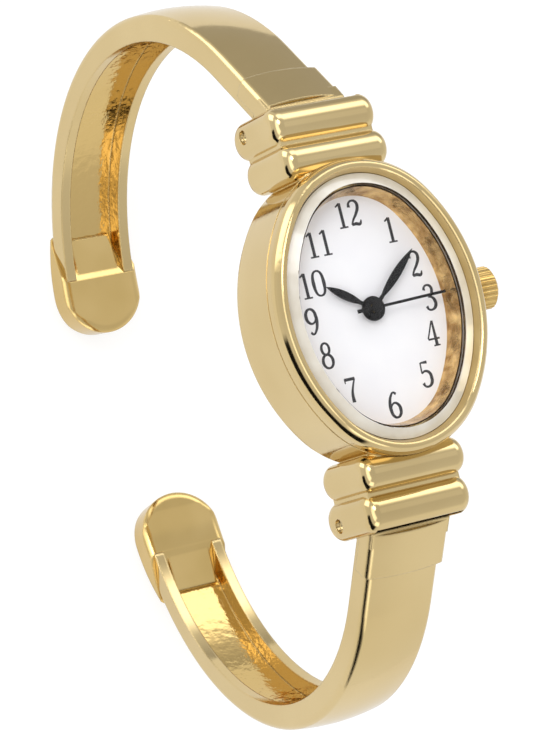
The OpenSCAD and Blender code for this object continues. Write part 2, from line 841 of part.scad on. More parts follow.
module bridge_screws() {
    color(steel) for (p = screw_pos) {
        translate([p.x, p.y, bridge_z - 0.3]) difference() {
            union() {
                cylinder(d = head_d, h = 0.3);
                cylinder(d = screw_d, h = 0.3 + bridge_t + train_h + 0.5);
            }
            translate([-1, -0.08, -e]) cube([2, 0.16, 0.15]);
        }
    }
}

module train_bridge() {
    color(brass) difference() {
        union() {
            translate([0, 0, bridge_z]) linear_extrude(bridge_t) difference() {
                intersection() {
                    oval(mov_in - 0.2);
                    translate([-case_w, -7 * cal]) square([2 * case_w, case_l]);
                }
                translate(cell_pos) circle(d = cell_w + 0.5);
                translate([-case_w, coil_y - coil_l / 2 - 1.1])
                    square([case_w + coil_x + coil_d / 2 + 0.15, coil_l + 2.2]);
                translate([can_pos.x, can_pos.y - can_l / 2]) square([1.5, can_l + 0.4], center = true);
            }
            for (p = screw_pos) {
                translate([p.x, p.y, bridge_top - e]) cylinder(d = head_d - 0.1, h = train_h - fit_gap);
            }
        }
        for (p = screw_pos) {
            translate([p.x, p.y, bridge_z - e]) cylinder(d = screw_d + 2 * fit_gap, h = 3);
        }
        for (p = [third_pos, inter_pos, rotor_pos, [0, 0]]) {
            arbor(p, pivot_low - 0.1, bridge_top + 1, second_arbor_d + 2 * run_gap);
        }
    }
}

module main_plate() {
    color(brass) difference() {
        oval_plate(mov_in, plate_z, dial_low - 0.02);
        for (g = [
            [[0, 0], hour_mod * (hour_teeth / 2 + 1) + 0.2],
            [minute_pos, cannon_mod * (minute_teeth / 2 + 1) + 0.2],
            [setting_pos, cannon_mod * (setting_teeth / 2 + 1) + 0.2]
        ]) {
            translate([g[0].x, g[0].y, recess_z]) cylinder(r = g[1], h = recess_t + 1);
        }
        translate([0, 0, plate_z - 1]) cylinder(d = minute_tube_d + 2 * run_gap, h = 5);
        for (p = [third_pos, inter_pos, rotor_pos]) {
            arbor(p, plate_z - e, pivot_high + 0.1, pivot_d + 2 * run_gap);
        }
        for (p = [minute_pos, setting_pos]) {
            arbor(p, recess_z - 0.4, recess_z + 1, pivot_d + 2 * run_gap);
        }
        for (p = screw_pos) {
            translate([p.x, p.y, plate_z - e]) cylinder(d = screw_d + 2 * fit_gap, h = 0.6);
        }
        for (s = [-1, 1]) {
            arbor(s * dial_foot, dial_low - foot_l - 0.1, dial_low + 1, foot_d + 2 * fit_gap);
        }
        x_rod(stem_d + 2 * run_gap, stem_x0 - 0.15, half_w, 0, stem_z);
        translate([clutch_x - 0.2, -0.8, plate_z - e]) cube([clutch_l + 0.4, 1.6, 0.5]);
        translate([groove_x, -lever_l, plate_z - e]) cylinder(d = 0.5 + 2 * run_gap, h = 0.5);
    }
}

module movement_holder() {
    holder_z = back_rim + 0.55;
    color([0.92, 0.92, 0.9]) difference() {
        oval_frame(cavity_in - fit_gap, mov_in + fit_gap, holder_z, dial_low - 0.02);
        x_rod(stem_d + 0.4, 0, half_w, 0, stem_z);
    }
}

// Cuff arms. The outer face runs straight from the hinge, then bends round (arc_y, arc_z)
face_y = pin_y + arm_lift * sin(arm_slope);
face_z = pin_z + arm_lift * cos(arm_slope);
join_y = face_y + arm_straight * cos(arm_slope);
join_z = face_z - arm_straight * sin(arm_slope);
arc_y = join_y - arm_r * sin(arm_slope);
arc_z = join_z - arm_r * cos(arm_slope);
join_turn = 90 + 90 - arm_slope;
tongue_w = arm_w - 2 * arm_wall - 0.8;

// Section of the channel: x is the distance from the bend's centre, y is the arm's width
module channel_section(width, out, skin) {
    inner = arm_r - arm_t;
    flat = width / 2 - arm_soft;
    edge = arm_r + out + 0.02 - arm_soft - arm_crown + sqrt(arm_crown * arm_crown - flat * flat);
    difference() {
        intersection() {
            union() {
                translate([inner, -flat]) square([arm_t + out, 2 * flat]);
                translate([inner, -width / 2]) square([edge - inner, width]);
                for (s = [-1, 1]) {
                    translate([edge, s * flat]) circle(r = arm_soft);
                }
            }
            translate([arm_r + out - arm_crown, 0]) circle(r = arm_crown, $fn = 128);
        }
        translate([inner - 1, arm_wall - arm_w / 2]) square([arm_t - skin + 1, arm_w - 2 * arm_wall]);
    }
}

// Places a sweep about the bend's centre; the start is the end of the straight stretch
module bend_frame() {
    translate([0, arc_y, arc_z]) rotate([0, 90, 0]) children();
}

module bend(from, to) {
    bend_frame() rotate(join_turn - from) mirror([0, 1, 0])
        rotate_extrude(angle = to - from, $fn = 128) children();
}

module straight(from, to) {
    bend_frame() rotate(join_turn) translate([0, to, 0]) rotate([90, 0, 0])
        linear_extrude(to - from) children();
}

// Room for the tip: everything past the seam, which runs slanted through the arm
module past_seam(gap) {
    from = arm_turn - tip_outer_turn + gap;
    outer = polar(arm_r + 0.15, -from);
    inner = polar(arm_r - arm_t, -(arm_turn - tip_inner_turn + gap));
    bend_frame() rotate(join_turn) linear_extrude(2 * arm_w, center = true) polygon([
        outer, polar(arm_r + tip_step + 0.3, -from - 4), polar(arm_r + 6, -arm_turn - 9),
        polar(arm_r - 8, -arm_turn - 9), 2 * inner - outer
    ]);
}

module arm_channel() {
    difference() {
        union() {
            straight(0, arm_straight + 0.9) channel_section(arm_w, 0, arm_skin);
            bend(0, arm_turn - tip_inner_turn + 1) channel_section(arm_w, 0, arm_skin);
            straight(arm_straight - collar_l + 0.7, arm_straight + 0.8) intersection() {
                channel_section(arm_w + 2 * collar_t, collar_t, arm_skin);
                translate([arm_r - collar_side, -arm_w]) square([arm_t, 2 * arm_w]);
            }
        }
        past_seam(0);
    }
}

// Point given along the straight stretch from the pin and square to it
function arm_point(along, lift) = [
    pin_y + along * cos(arm_slope) + lift * sin(arm_slope),
    pin_z - along * sin(arm_slope) + lift * cos(arm_slope)
];

// Solid head that joins the channel to the knuckles inside the hood
module arm_head() {
    knuckle_w = arm_w + 0.4;
    difference() {
        union() {
            along_x(knuckle_w) polygon([
                arm_point(-1.3, arm_lift - 0.3), arm_point(-1, arm_lift), arm_point(0.5, arm_lift),
                arm_point(0.9, arm_lift - arm_t), arm_point(0.9, 0), arm_point(-1, 0)
            ]);
            x_rod(knuckle_d, -knuckle_w / 2, knuckle_w / 2, pin_y, pin_z);
        }
        x_rod(2 * (knuckle_d / 2 + 0.3), -spring_room / 2, spring_room / 2, pin_y, pin_z);
    }
}

module arm(set, lean) {
    translate([0, pin_y, pin_z]) rotate([set, 0, 0]) difference() {
        union() {
            rotate([0, lean, 0]) translate([0, -pin_y, -pin_z]) arm_channel();
            translate([0, -pin_y, -pin_z]) arm_head();
        }
        rotate([0, 90, 0]) cylinder(d = pin_d + 2 * run_gap, h = bar_w, center = true);
    }
}

// Outline of the tip from outside: round at its end, drawn in a little towards the seam
module tip_outline(half) {
    sweep_r = 29;
    intersection() {
        translate([half - sweep_r, 0]) circle(r = sweep_r);
        translate([sweep_r - half, 0]) circle(r = sweep_r);
        translate([-half - 1, 0]) square([2 * half + 2, arm_r / 2]);
    }
    circle(r = half);
}

// Rounded end piece: its ramp runs down into the channel between two slots
module arm_tip(set, lean) {
    tip_w = arm_w + 2 * tip_side;
    low = arm_r - arm_t;
    round_turn = (tip_w / 2) / (arm_r * PI / 180);
    round_r = tip_w / 2 + 0.15;
    soft = 1.5;
    rim_r = round_r + 0.1;
    floor_r = low - 0.15;
    dome_r = arm_r + tip_step - soft - 0.05;
    seam_turn = arm_turn - tip_outer_turn;
    translate([0, pin_y, pin_z]) rotate([set, 0, 0]) rotate([0, lean, 0]) translate([0, -pin_y, -pin_z]) {
        intersection() {
            bend(seam_turn - 3, arm_turn + 3) intersection() {
                union() {
                    translate([low, tip_soft - round_r]) square([arm_t + tip_step, 2 * round_r - 2 * tip_soft]);
                    translate([low + tip_soft, -round_r]) square([arm_t + tip_step - tip_soft, 2 * round_r]);
                    for (s = [-1, 1]) {
                        translate([low + tip_soft, s * (round_r - tip_soft)]) circle(r = tip_soft);
                    }
                }
                translate([arm_r + tip_step - tip_w, 0]) circle(r = tip_w, $fn = 128);
            }
            past_seam(0.1);
            bend_frame() rotate(join_turn - arm_turn + round_turn) rotate([0, 90, 0])
                linear_extrude(2 * arm_r) tip_outline(tip_w / 2);
            bend_frame() rotate(join_turn - arm_turn + round_turn) {
                rotate([0, 90, 0]) rotate_extrude() {
                    translate([0, floor_r + tip_soft]) square([rim_r, dome_r - floor_r - tip_soft]);
                    translate([0, floor_r]) square([rim_r - tip_soft, arm_t]);
                    translate([0, floor_r]) square([rim_r - soft, arm_t + 2]);
                    translate([rim_r - tip_soft, floor_r + tip_soft]) circle(r = tip_soft);
                    translate([rim_r - soft, dome_r]) circle(r = soft);
                }
                translate([0, 0, -tip_w]) cube([2 * arm_r, arm_r, 2 * tip_w]);
            }
        }
        bend_frame() rotate(join_turn) linear_extrude(tongue_w, center = true) polygon([
            polar(low + 1.2, -arm_turn + tip_inner_turn - 2.5),
            polar(low + 0.3, -arm_turn + tip_inner_turn - 2.5),
            polar(low + 0.2, -arm_turn + tip_inner_turn),
            polar(arm_r - arm_skin - fit_gap - 0.4, -arm_turn + tip_inner_turn + ramp_turn),
            polar(arm_r - arm_skin - fit_gap, -arm_turn + tip_inner_turn + ramp_turn),
            polar(arm_r - arm_skin - fit_gap, -arm_turn + tip_inner_turn + ramp_turn / 2)
        ]);
    }
}

module hinge_pin() {
    color(steel) x_rod(pin_d, -pin_l / 2, pin_l / 2, pin_y, pin_z);
}

// Coil spring round the pin: one leg rests on the hood, the other on the arm's head
module hinge_spring() {
    bore_r = pin_d / 2 + 0.06;
    coil_h = spring_room - 0.3;
    turns = floor(coil_h / spring_wire);
    pitch = coil_h / turns;
    leg = spring_wire - 0.06;
    color(steel) translate([0, pin_y, pin_z]) {
        rotate([0, 90, 0]) rotate_extrude() translate([bore_r, 0]) difference() {
            translate([0, -coil_h / 2]) square([spring_wire, coil_h]);
            for (i = [1:turns - 1]) {
                translate([spring_wire, i * pitch - coil_h / 2]) rotate(45) square(0.12, center = true);
            }
        }
        translate([0.15 - coil_h / 2, -bore_r - spring_wire / 2, 0]) cylinder(d = leg, h = 1.5);
        rotate([-arm_slope, 0, 0]) translate([coil_h / 2 - 0.15, 0, bore_r + spring_wire / 2])
            rotate([90, 0, 0]) cylinder(d = leg, h = 1);
    }
}

module upper_arm() {
    color(gold) arm(upper_set, upper_lean);
}

module upper_tip() {
    color(gold) arm_tip(upper_set, upper_lean);
}

module lower_arm() {
    color(gold) mirror([0, 1, 0]) arm(lower_set, 0);
}

module lower_tip() {
    color(gold) mirror([0, 1, 0]) arm_tip(lower_set, 0);
}

case_middle();
bezel();
crystal_ring();
crystal();
dial_ring();
case_back();
back_gasket();
crown();
stem();
crown_tube();
crown_gasket();
dial();
hour_hand();
minute_hand();
second_hand();
dial_washer();
movement_holder();
main_plate();
train_bridge();
bridge_screws();
circuit_board();
circuit_chip();
quartz_can();
coil();
coil_core();
stator();
rotor();
intermediate_wheel();
fourth_wheel();
third_wheel();
centre_wheel();
minute_wheel();
hour_wheel();
setting_wheel();
sliding_pinion();
setting_lever();
button_cell();
cell_insulator();
cell_clamp();
upper_arm();
upper_tip();
hinge_pin();  // upper_pin
hinge_spring();  // upper_spring
lower_arm();
lower_tip();
mirror([0, 1, 0]) hinge_pin();  // lower_pin
mirror([0, 1, 0]) hinge_spring();  // lower_spring
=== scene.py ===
# %% [markdown]
# # A gold cuff watch with an oval case
# The watch arrives as solids from the CAD model: a case with double lug bars, a crown, a dial
# with three hands, a quartz movement, and two sprung arms. This lesson dresses those solids. It
# gives every piece the finish of the real one, and models what is too fine for the CAD, such
# as the printed numerals.

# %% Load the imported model
import math
import bpy
from mathutils import Matrix, Vector


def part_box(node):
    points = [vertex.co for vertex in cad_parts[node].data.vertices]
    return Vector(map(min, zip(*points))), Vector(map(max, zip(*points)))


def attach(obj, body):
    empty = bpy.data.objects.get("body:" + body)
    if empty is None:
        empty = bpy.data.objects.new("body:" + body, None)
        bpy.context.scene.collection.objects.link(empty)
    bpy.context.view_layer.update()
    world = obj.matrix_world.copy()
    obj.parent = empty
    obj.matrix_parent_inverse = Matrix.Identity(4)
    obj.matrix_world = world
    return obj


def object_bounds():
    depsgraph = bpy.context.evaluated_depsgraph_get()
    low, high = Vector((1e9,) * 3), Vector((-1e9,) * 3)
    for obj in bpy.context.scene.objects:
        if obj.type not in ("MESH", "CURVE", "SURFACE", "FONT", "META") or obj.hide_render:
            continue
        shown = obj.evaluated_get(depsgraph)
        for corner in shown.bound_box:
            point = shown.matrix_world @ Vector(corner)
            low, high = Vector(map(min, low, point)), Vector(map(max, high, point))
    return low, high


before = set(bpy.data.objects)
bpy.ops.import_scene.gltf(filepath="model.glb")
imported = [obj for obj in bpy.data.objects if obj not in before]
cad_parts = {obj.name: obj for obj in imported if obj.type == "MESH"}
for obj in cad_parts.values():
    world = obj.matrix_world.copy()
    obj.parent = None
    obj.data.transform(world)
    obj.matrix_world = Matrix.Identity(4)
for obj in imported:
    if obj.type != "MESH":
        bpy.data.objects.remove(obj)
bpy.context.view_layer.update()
MM = 0.001
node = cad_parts

# %% [markdown]
# ## Working by hand in a script
# Operators act on whatever is selected, and the loaded solids arrive selected. So each step
# starts by clearing the selection. A finished piece also gets its place put into its mesh,
# so that a pattern on object coordinates lies the same way on every piece.

# %% Selection and finishing helpers
def deselect_all():
    if bpy.context.object and bpy.context.object.mode != "OBJECT":
        bpy.ops.object.mode_set(mode="OBJECT")
    bpy.ops.object.select_all(action="DESELECT")


def pick(piece):
    deselect_all()
    piece.select_set(True)
    bpy.context.view_layer.objects.active = piece


def settle(piece, name, body, finish):
    """Puts the piece's place into its mesh, names it, and lets it ride on a body."""
    pick(piece)
    bpy.ops.object.transform_apply(location=True, rotation=True, scale=True)
    piece.name = piece.data.name = name
    piece.data.materials.clear()
    piece.data.materials.append(finish)
    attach(piece, body)
    print(name, len(piece.data.polygons), "faces, rides on", body)


# %% [markdown]
# ## Camera
# The camera stands where the photographer's did. Its place and turn were found by fitting the
# dial's numerals, the case and the arms to the picture, so the render lines up with it.
# A long lens far away keeps the two arms almost parallel, as in the picture.

# %% Camera
CAMERA_PLACE = Vector((-144.21, -21.26, 268.57)) * MM
CAMERA_RIGHT = Vector((0.870943, -0.239715, 0.428945))
CAMERA_UP = Vector((0.186420, 0.968865, 0.162935))
LENS, SENSOR_WIDTH = 177.07, 36
NEAREST_SEEN = 10 * MM

camera_data = bpy.data.cameras.new("camera")
camera_data.sensor_width = SENSOR_WIDTH
camera_data.lens = LENS
camera_data.clip_start = NEAREST_SEEN
camera = bpy.data.objects.new("camera", camera_data)
bpy.context.scene.collection.objects.link(camera)
facing = Matrix((CAMERA_RIGHT, CAMERA_UP, CAMERA_RIGHT.cross(CAMERA_UP))).transposed()
camera.matrix_world = Matrix.Translation(CAMERA_PLACE) @ facing.to_4x4()
bpy.context.scene.camera = camera
bpy.context.scene.view_settings.view_transform = "Standard"
print("camera at", [round(v, 4) for v in camera.location])

# %% [markdown]
# ## Node helpers
# A finish is a small tree of nodes that ends in one Principled shader, and the world is such a
# tree too. Two helpers build them all. One links an output to a socket, or sets the socket's
# own value. The other makes a node and feeds it: what has no name goes to its sockets in their
# order, and what has one goes to the socket or the setting of that name. An underscore stands
# for the space in a socket's name.

# %% Nodes
def feed(socket, value):
    """Links an output to the socket, or sets the socket's own value."""
    if isinstance(value, bpy.types.NodeSocket):
        socket.id_data.links.new(value, socket)
    else:
        socket.default_value = value


def add_node(tree, kind, *sources, **named):
    """Makes a node and feeds its sockets and settings."""
    made = tree.nodes.new(kind)
    for name, value in named.items():
        socket_name = name.replace("_", " ")
        if socket_name in made.inputs:
            feed(made.inputs[socket_name], value)
        else:
            setattr(made, name, value)
    for socket, source in zip(made.inputs, sources):
        feed(socket, source)
    return made


def maths(tree, operation, *sources):
    return add_node(tree, "ShaderNodeMath", *sources, operation=operation).outputs["Value"]


# %% Start a finish
def start_finish(name, colour, roughness, metallic=0.0):
    """A new material and its shader, with the finish's middle colour and roughness."""
    finish = bpy.data.materials.new(name)
    finish.use_nodes = True
    shader = finish.node_tree.nodes["Principled BSDF"]
    feed(shader.inputs["Base Color"], (*colour, 1))
    feed(shader.inputs["Roughness"], roughness)
    feed(shader.inputs["Metallic"], metallic)
    return finish, shader


def end_finish(finish, surface):
    """Sends another shader than the Principled one to the surface."""
    feed(finish.node_tree.nodes["Material Output"].inputs["Surface"], surface.outputs["Shader"])


# %% [markdown]
# ### Tone, shine and relief
# Real metal and lacquer are never quite even. Noise at the size of the real grain lets the
# colour and the roughness drift, and raises the faint hills that bend a reflection. A Bevel
# node rounds the look of the solids' sharp edges by a tenth of a millimetre or two, as
# polishing does on the real metal. It changes only the shading, never the mesh.

# %% Tone, shine and relief
NOISE_LOW, NOISE_HIGH = 0.3, 0.7


def grain(shader, size_mm, detail=2.0):
    """Noise with blobs about size_mm across, mostly between NOISE_LOW and NOISE_HIGH."""
    tree = shader.id_data
    coords = add_node(tree, "ShaderNodeTexCoord")
    noise = add_node(tree, "ShaderNodeTexNoise", Vector=coords.outputs["Object"],
                     Scale=1 / (size_mm * MM), Detail=detail)
    return noise.outputs["Fac"]


def tone(shader, fac, dark, light):
    """The colour drifts from dark to light with the noise."""
    ramp = add_node(shader.id_data, "ShaderNodeValToRGB", Fac=fac)
    low_end, high_end = ramp.color_ramp.elements
    low_end.position, high_end.position = NOISE_LOW, NOISE_HIGH
    low_end.color, high_end.color = (*dark, 1), (*light, 1)
    feed(shader.inputs["Base Color"], ramp.outputs["Color"])
    return ramp.outputs["Color"]


def polish(shader, fac, low, high):
    """The roughness drifts from low to high with the noise."""
    spread = add_node(shader.id_data, "ShaderNodeMapRange", Value=fac, From_Min=NOISE_LOW,
                      From_Max=NOISE_HIGH, To_Min=low, To_Max=high)
    feed(shader.inputs["Roughness"], spread.outputs["Result"])


def relief(shader, fac, height_mm, edge_mm=0.0):
    """Small hills of height_mm, over edges softened by edge_mm."""
    tree = shader.id_data
    bump = add_node(tree, "ShaderNodeBump", Distance=height_mm * MM, Height=fac)
    if edge_mm:
        soft_edge = add_node(tree, "ShaderNodeBevel", Radius=edge_mm * MM)
        feed(bump.inputs["Normal"], soft_edge.outputs["Normal"])
    feed(shader.inputs["Normal"], bump.outputs["Normal"])


# %% [markdown]
# ## Gold
# The case and the arms are gold-plated steel with a bright polish. The tone is a pale
# champagne gold that drifts a little over the surface, and fine wear shows as faint waves in
# the reflections. The two tips are cast, so their gold is warmer and their waves are deeper.

# %% Polished gold and warm gold
GOLD, GOLD_DARK, GOLD_LIGHT = (0.7, 0.54, 0.27), (0.67, 0.51, 0.245), (0.73, 0.57, 0.295)
WARM = (0.7, 0.5, 0.2)

gold, shader = start_finish("polished_gold", GOLD, roughness=0.09, metallic=1.0)
tone(shader, grain(shader, 9), GOLD_DARK, GOLD_LIGHT)
polish(shader, grain(shader, 0.6, detail=4), low=0.06, high=0.12)
relief(shader, grain(shader, 3, detail=1), height_mm=0.004, edge_mm=0.14)

warm_gold, shader = start_finish("warm_gold", WARM, roughness=0.1, metallic=1.0)
tone(shader, grain(shader, 6), dark=(0.66, 0.47, 0.18), light=(0.74, 0.54, 0.23))
polish(shader, grain(shader, 0.6, detail=4), low=0.07, high=0.13)
relief(shader, grain(shader, 4, detail=1), height_mm=0.05, edge_mm=0.3)
print("gold finishes:", gold.name, warm_gold.name)

# %% [markdown]
# ### Crown gold, and grained gold with painted glints
# The crown's gold is deeper than the case's. The sloping ring between the dial and the crystal has
# a grained face, and its high relief is real. Its tone runs at random from dark brown to pale
# gold: these blotches are painted shade and painted glints, standing in for the light that the
# grain scatters.

# %% Crown gold, and grained gold with painted glints
crown_gold, shader = start_finish("crown_gold", (0.68, 0.46, 0.16), roughness=0.14,
                                  metallic=1.0)
tone(shader, grain(shader, 1.5), dark=(0.6, 0.39, 0.12), light=(0.74, 0.52, 0.2))
polish(shader, grain(shader, 0.25, detail=3), low=0.1, high=0.2)
relief(shader, grain(shader, 0.5), height_mm=0.004, edge_mm=0.05)

grain_and_painted_glint_gold, shader = start_finish("grain_and_painted_glint_gold", (0.76, 0.6, 0.34), roughness=0.22,
                                    metallic=1.0)
# Painted shade and painted glints: the dark brown and pale gold blotches stand in for the light
# that the grain scatters.
tone(shader, grain(shader, 1.1, detail=6), dark=(0.3, 0.14, 0.035), light=(0.84, 0.58, 0.24))
polish(shader, grain(shader, 0.2, detail=3), low=0.12, high=0.22)
relief(shader, grain(shader, 0.5, detail=4), height_mm=0.09)
print("gold finishes:", crown_gold.name, grain_and_painted_glint_gold.name)

# %% [markdown]
# ### The arms' gold
# The outside of each arm has the same polish, but the channel inside is left as it was cast:
# its floor is faintly hammered and a warmer gold, as on the two tips. One material does both.
# It measures how far a point lies from the axis that the arm bends round, and how far from the
# arm's middle plane, and lets the warm gold and the hammering in only where both are short.
# The upper arm leans a little on its hinge, so the point is first turned upright.

# %% Arm gold with a cast channel
HINGE_Z, CHANNEL_FLOOR, CHANNEL_HALF = 0.77, 22.45, 2.6
FROM_AXIS, FROM_MIDDLE = (0, 1, 1), (1, 0, 0)


def length_in(tree, point, weights, centre):
    """Distance from centre, counted only along the weighted axes."""
    shift = add_node(tree, "ShaderNodeVectorMath", point, centre, operation="SUBTRACT")
    weigh = add_node(tree, "ShaderNodeVectorMath", shift.outputs["Vector"], weights,
                     operation="MULTIPLY")
    reach = add_node(tree, "ShaderNodeVectorMath", weigh.outputs["Vector"], operation="LENGTH")
    return reach.outputs["Value"]


def arm_gold(name, axis_y, axis_z, lean):
    """Gold for an arm that bends round the point (axis_y, axis_z) and leans by some degrees."""
    finish, shader = start_finish(name, GOLD, roughness=0.1, metallic=1.0)
    tree = finish.node_tree
    outside = tone(shader, grain(shader, 11), GOLD_DARK, GOLD_LIGHT)
    polish(shader, grain(shader, 0.8, detail=4), low=0.07, high=0.14)
    coords = add_node(tree, "ShaderNodeTexCoord")
    upright = add_node(tree, "ShaderNodeVectorRotate", rotation_type="Y_AXIS",
                       Vector=coords.outputs["Object"], Center=(0, 0, HINGE_Z * MM),
                       Angle=math.radians(-lean))
    masks = []
    for weights, limit in ((FROM_AXIS, CHANNEL_FLOOR), (FROM_MIDDLE, CHANNEL_HALF)):
        reach = length_in(tree, upright.outputs["Vector"], weights,
                          (0, axis_y * MM, axis_z * MM))
        masks.append(maths(tree, "LESS_THAN", reach, limit * MM))
    channel = maths(tree, "MULTIPLY", *masks)
    both = add_node(tree, "ShaderNodeMixRGB", Fac=channel, Color1=outside, Color2=(*WARM, 1))
    feed(shader.inputs["Base Color"], both.outputs["Color"])
    hammered = maths(tree, "MULTIPLY", channel, grain(shader, 0.8, detail=3))
    relief(shader, hammered, height_mm=0.06, edge_mm=0.25)
    print(name, "is cast inside", CHANNEL_FLOOR, "mm of its axis")
    return finish


upper_gold = arm_gold("upper_arm_gold", axis_y=8.80, axis_z=-19.05, lean=3.2)
lower_gold = arm_gold("lower_arm_gold", axis_y=-10.09, axis_z=-19.56, lean=0)

# %% [markdown]
# ## Dial, hands and ring
# The dial is a cool white lacquer, and the hands are glossy black. The numerals are printed in
# a duller ink. The crystal sits in a milky plastic ring, whose clear coat shines over a faintly
# uneven body.

# %% Lacquer, ink and ring
dial_white, shader = start_finish("dial_lacquer", (0.86, 0.86, 0.89), roughness=0.35)
tone(shader, grain(shader, 3), dark=(0.85, 0.85, 0.885), light=(0.88, 0.88, 0.905))
polish(shader, grain(shader, 0.4, detail=3), low=0.3, high=0.42)

glossy_black, shader = start_finish("glossy_black", (0.006, 0.006, 0.007), roughness=0.2)
feed(shader.inputs["Specular IOR Level"], 0.3)
polish(shader, grain(shader, 0.3, detail=3), low=0.16, high=0.3)
relief(shader, grain(shader, 0.4), height_mm=0.002, edge_mm=0.04)

print_ink, shader = start_finish("print_ink", (0.022, 0.022, 0.027), roughness=0.45)
polish(shader, grain(shader, 0.15, detail=3), low=0.4, high=0.55)

milky_ring, shader = start_finish("milky_ring", (0.72, 0.68, 0.6), roughness=0.12)
tone(shader, grain(shader, 2), dark=(0.66, 0.61, 0.52), light=(0.76, 0.73, 0.66))
polish(shader, grain(shader, 0.5, detail=3), low=0.08, high=0.18)
feed(shader.inputs["Coat Weight"], 1.0)
feed(shader.inputs["Coat Roughness"], 0.05)
print("dial finishes:", dial_white.name, glossy_black.name, print_ink.name, milky_ring.name)

# %% [markdown]
# ## Crystal
# The crystal is flat and clear. Glass stops Cycles from lighting what lies under it, so for
# shadow and diffuse rays it gives way to a clear shader. Its index is lower than that of real
# glass, because a watch crystal is coated against reflections.

# %% Crystal
COATED_INDEX = 1.2

glass, shader = start_finish("crystal_glass", (1, 1, 1), roughness=0.0)
feed(shader.inputs["Transmission Weight"], 1.0)
feed(shader.inputs["IOR"], COATED_INDEX)
relief(shader, grain(shader, 4, detail=1), height_mm=0.0005)
rays = add_node(glass.node_tree, "ShaderNodeLightPath").outputs
let_through = maths(glass.node_tree, "MAXIMUM", rays["Is Shadow Ray"], rays["Is Diffuse Ray"])
clear = add_node(glass.node_tree, "ShaderNodeBsdfTransparent")
end_finish(glass, add_node(glass.node_tree, "ShaderNodeMixShader", let_through,
                           shader.outputs["BSDF"], clear.outputs["BSDF"]))
print("crystal finish:", glass.name)

# %% [markdown]
# ## Finishes inside the case
# Nobody sees the movement from outside, but it is dressed too: brass plates with a fine
# grain, steel parts, the green circuit board, the copper coil and the plastic holder.

# %% Movement finishes
def plain_metal(name, dark, light, size_mm):
    finish, shader = start_finish(name, light, roughness=0.25, metallic=1.0)
    tone(shader, grain(shader, size_mm), dark, light)
    polish(shader, grain(shader, size_mm / 6, detail=3), low=0.18, high=0.34)
    relief(shader, grain(shader, size_mm / 5), height_mm=0.002, edge_mm=0.03)
    return finish


def plain_plastic(name, dark, light, rough):
    finish, shader = start_finish(name, light, roughness=rough)
    tone(shader, grain(shader, 1.2), dark, light)
    polish(shader, grain(shader, 0.3, detail=3), low=rough * 0.8, high=rough * 1.2)
    relief(shader, grain(shader, 0.25, detail=3), height_mm=0.002)
    return finish


steel = plain_metal("bright_steel", (0.5, 0.5, 0.51), (0.62, 0.62, 0.63), 1.5)
brass = plain_metal("brass", (0.66, 0.47, 0.2), (0.78, 0.6, 0.3), 1.5)
copper = plain_metal("copper_wire", (0.55, 0.25, 0.12), (0.75, 0.38, 0.2), 0.4)
rubber = plain_plastic("gasket_rubber", (0.015, 0.015, 0.015), (0.03, 0.03, 0.03), 0.6)
holder = plain_plastic("holder_plastic", (0.75, 0.75, 0.72), (0.82, 0.82, 0.8), 0.45)
board = plain_plastic("circuit_board", (0.02, 0.09, 0.04), (0.04, 0.14, 0.07), 0.4)
chip = plain_plastic("chip_plastic", (0.012, 0.012, 0.013), (0.022, 0.022, 0.024), 0.35)
insulator = plain_plastic("insulator_film", (0.6, 0.32, 0.07), (0.7, 0.4, 0.1), 0.3)
print("movement finishes:", steel.name, brass.name, copper.name, rubber.name, holder.name,
      board.name, chip.name, insulator.name)

# %% [markdown]
# ## Dressing the solids
# Each solid is one piece of the watch and takes one finish, so a list of finishes and the
# pieces that wear them is enough. The meshes themselves stay as the CAD model made them.

# %% Dress the solids
DRESSED = (
    (gold, "case_middle bezel case_back"),
    (warm_gold, "upper_tip lower_tip"),
    (upper_gold, "upper_arm"),
    (lower_gold, "lower_arm"),
    (grain_and_painted_glint_gold, "dial_ring"),
    (crown_gold, "crown"),
    (milky_ring, "crystal_ring"),
    (glass, "crystal"),
    (dial_white, "dial"),
    (glossy_black, "hour_hand minute_hand second_hand"),
    (steel, "stem crown_tube bridge_screws quartz_can coil_core stator rotor sliding_pinion"
            " setting_lever button_cell cell_clamp upper_pin lower_pin upper_spring"
            " lower_spring"),
    (brass, "dial_washer main_plate train_bridge intermediate_wheel fourth_wheel third_wheel"
            " centre_wheel minute_wheel hour_wheel setting_wheel"),
    (copper, "coil"),
    (rubber, "back_gasket crown_gasket"),
    (holder, "movement_holder"),
    (board, "circuit_board"),
    (chip, "circuit_chip"),
    (insulator, "cell_insulator"),
)
for finish, names in DRESSED:
    for name in names.split():
        node[name].data.materials.clear()
        node[name].data.materials.append(finish)
print(sum(len(names.split()) for finish, names in DRESSED), "solids dressed")

# %% [markdown]
# ## Numerals
# The dial is printed with upright numerals whose strokes swell and thin like pen strokes.
# A ready font would have its own strokes, so these are drawn: each stroke is a smooth curve
# through a few points, and each point has its own half width.

